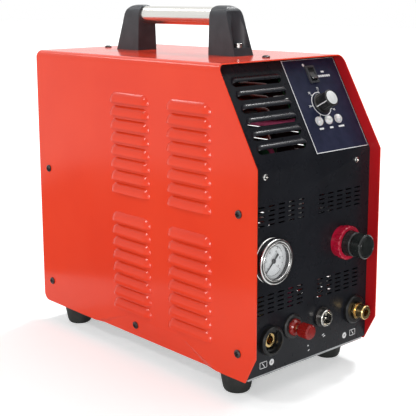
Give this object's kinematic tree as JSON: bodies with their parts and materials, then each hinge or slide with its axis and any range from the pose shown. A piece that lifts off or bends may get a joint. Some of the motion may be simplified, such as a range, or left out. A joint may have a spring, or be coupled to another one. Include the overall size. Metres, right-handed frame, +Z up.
{
  "type": "plasma cutter unit",
  "caption": "Portable plasma cutting power source: folded louvred case on rubber feet, carry handle, sloped control panel, air gauge, regulator and output sockets.",
  "frame": {"origin": "on the floor under the middle of the whole unit, regulator cap and cable gland included", "axes": "the front panel faces -Y, +X is right seen from the front, +Z is up"},
  "size_m": [0.189, 0.3916, 0.3735],
  "materials": {
    "red_paint": "gloss",
    "black_paint": "satin",
    "zinc_steel": "satin",
    "overlay_film": "satin",
    "post_plastic": "matte",
    "tube_steel": "satin",
    "bright_screw": "gloss",
    "dark_screw": "satin",
    "foot_rubber": "matte",
    "switch_grey": "satin",
    "switch_black": "gloss",
    "pot_blue": "satin",
    "knob_black": "satin",
    "cap_black": "satin",
    "led_lens": "gloss",
    "circuit_green": "satin",
    "gauge_chrome": "gloss",
    "dial_white": "matte",
    "gauge_glass": "gloss",
    "needle_black": "matte",
    "cast_alloy": "satin",
    "ring_red": "gloss",
    "socket_black": "satin",
    "brass": "satin",
    "terminal_red": "gloss",
    "nickel": "gloss",
    "fan_black": "satin",
    "guard_wire": "gloss",
    "motor_grey": "satin"
  },
  "bodies": {
    "root": {"cover": "red_paint", "base_tray": "zinc_steel", "front_panel": "black_paint", "rear_panel": "black_paint", "shelf_plate": "zinc_steel", "control_overlay": "overlay_film", "handle_post_front": "post_plastic", "handle_post_rear": "post_plastic", "handle_tube": "tube_steel", "handle_screws": "bright_screw", "foot_front_left": "foot_rubber", "foot_front_right": "foot_rubber", "foot_rear_left": "foot_rubber", "foot_rear_right": "foot_rubber", "foot_screws": "bright_screw", "cover_screws": "dark_screw", "panel_screws": "bright_screw", "air_switch_bezel": "switch_grey", "current_pot": "pot_blue", "led_left": "led_lens", "led_middle": "led_lens", "led_right": "led_lens", "control_board": "circuit_green", "gauge_case": "black_paint", "gauge_flange": "gauge_chrome", "gauge_bezel": "gauge_chrome", "gauge_dial": "dial_white", "gauge_lens": "gauge_glass", "regulator_body": "cast_alloy", "regulator_ring": "ring_red", "regulator_bonnet": "knob_black", "earth_socket_body": "socket_black", "earth_socket_insert": "brass", "pilot_terminal_base": "knob_black", "pilot_terminal_collar": "terminal_red", "pilot_terminal_stud": "brass", "trigger_socket_nut": "dark_screw", "trigger_socket_shell": "nickel", "trigger_socket_insert": "socket_black", "torch_socket_flange": "socket_black", "torch_socket_fitting": "brass", "fan_frame": "fan_black", "fan_guard": "guard_wire", "mains_switch_body": "socket_black", "cable_gland": "socket_black", "compressor_motor": "motor_grey", "compressor_head": "cast_alloy", "solenoid_valve": "brass", "power_board": "circuit_green", "heatsinks": "cast_alloy"},
    "air_rocker": {"air_switch_rocker": "switch_black"},
    "mains_rocker": {"mains_switch_rocker": "switch_black"},
    "current_control": {"current_knob": "knob_black", "current_shaft": "zinc_steel"},
    "needle": {"gauge_needle": "needle_black"},
    "regulator_spindle": {"regulator_stem": "knob_black"},
    "regulator_cap": {"regulator_knob": "cap_black"},
    "pilot_washer": {"pilot_terminal_washer": "nickel"},
    "pilot_cap": {"pilot_terminal_cap": "terminal_red"},
    "fan": {"fan_rotor": "fan_black"}
  },
  "joints": [
    {"name": "air_switch", "type": "hinge", "parent": "root", "child": "air_rocker", "pos_m": [0.0443, -0.12025, 0.30385], "axis": [1, 0, 0], "range_deg": [0, 16]},
    {"name": "mains_switch", "type": "hinge", "parent": "root", "child": "mains_rocker", "pos_m": [0.045, 0.17585, 0.1305], "axis": [-1, 0, 0], "range_deg": [-16, 0]},
    {"name": "current_setting", "type": "hinge", "parent": "root", "child": "current_control", "pos_m": [0.0417, -0.13608, 0.27535], "axis": [0, -0.8697, 0.4935], "range_deg": [-222, 41]},
    {"name": "gauge_reading", "type": "hinge", "parent": "root", "child": "needle", "pos_m": [-0.058, -0.16465, 0.1375], "axis": [0, 1, 0], "range_deg": [0, 270], "stiffness_Nm_per_rad": 0.0002},
    {"name": "regulator_turn", "type": "hinge", "parent": "root", "child": "regulator_spindle", "pos_m": [0.0455, -0.18265, 0.1375], "axis": [0, -1, 0], "range_deg": [-900, 900]},
    {"name": "regulator_pull", "type": "slide", "parent": "regulator_spindle", "child": "regulator_cap", "axis": [0, -1, 0], "range_m": [0, 0.004]},
    {"name": "pilot_cap_travel", "type": "slide", "parent": "root", "child": "pilot_washer", "axis": [0, -1, 0], "range_m": [-0.003, 0.004]},
    {"name": "pilot_cap_turn", "type": "hinge", "parent": "pilot_washer", "child": "pilot_cap", "pos_m": [-0.0269, -0.18065, 0.0645], "axis": [0, -1, 0], "range_deg": [-1085, 1445]},
    {"name": "fan_spin", "type": "hinge", "parent": "root", "child": "fan", "pos_m": [0, 0.15585, 0.2385], "axis": [0, 1, 0], "continuous": true}
  ],
  "couplings": [
    {"joint": "pilot_cap_turn", "follows": "pilot_cap_travel", "rad_per_m": 6283.2}
  ]
}
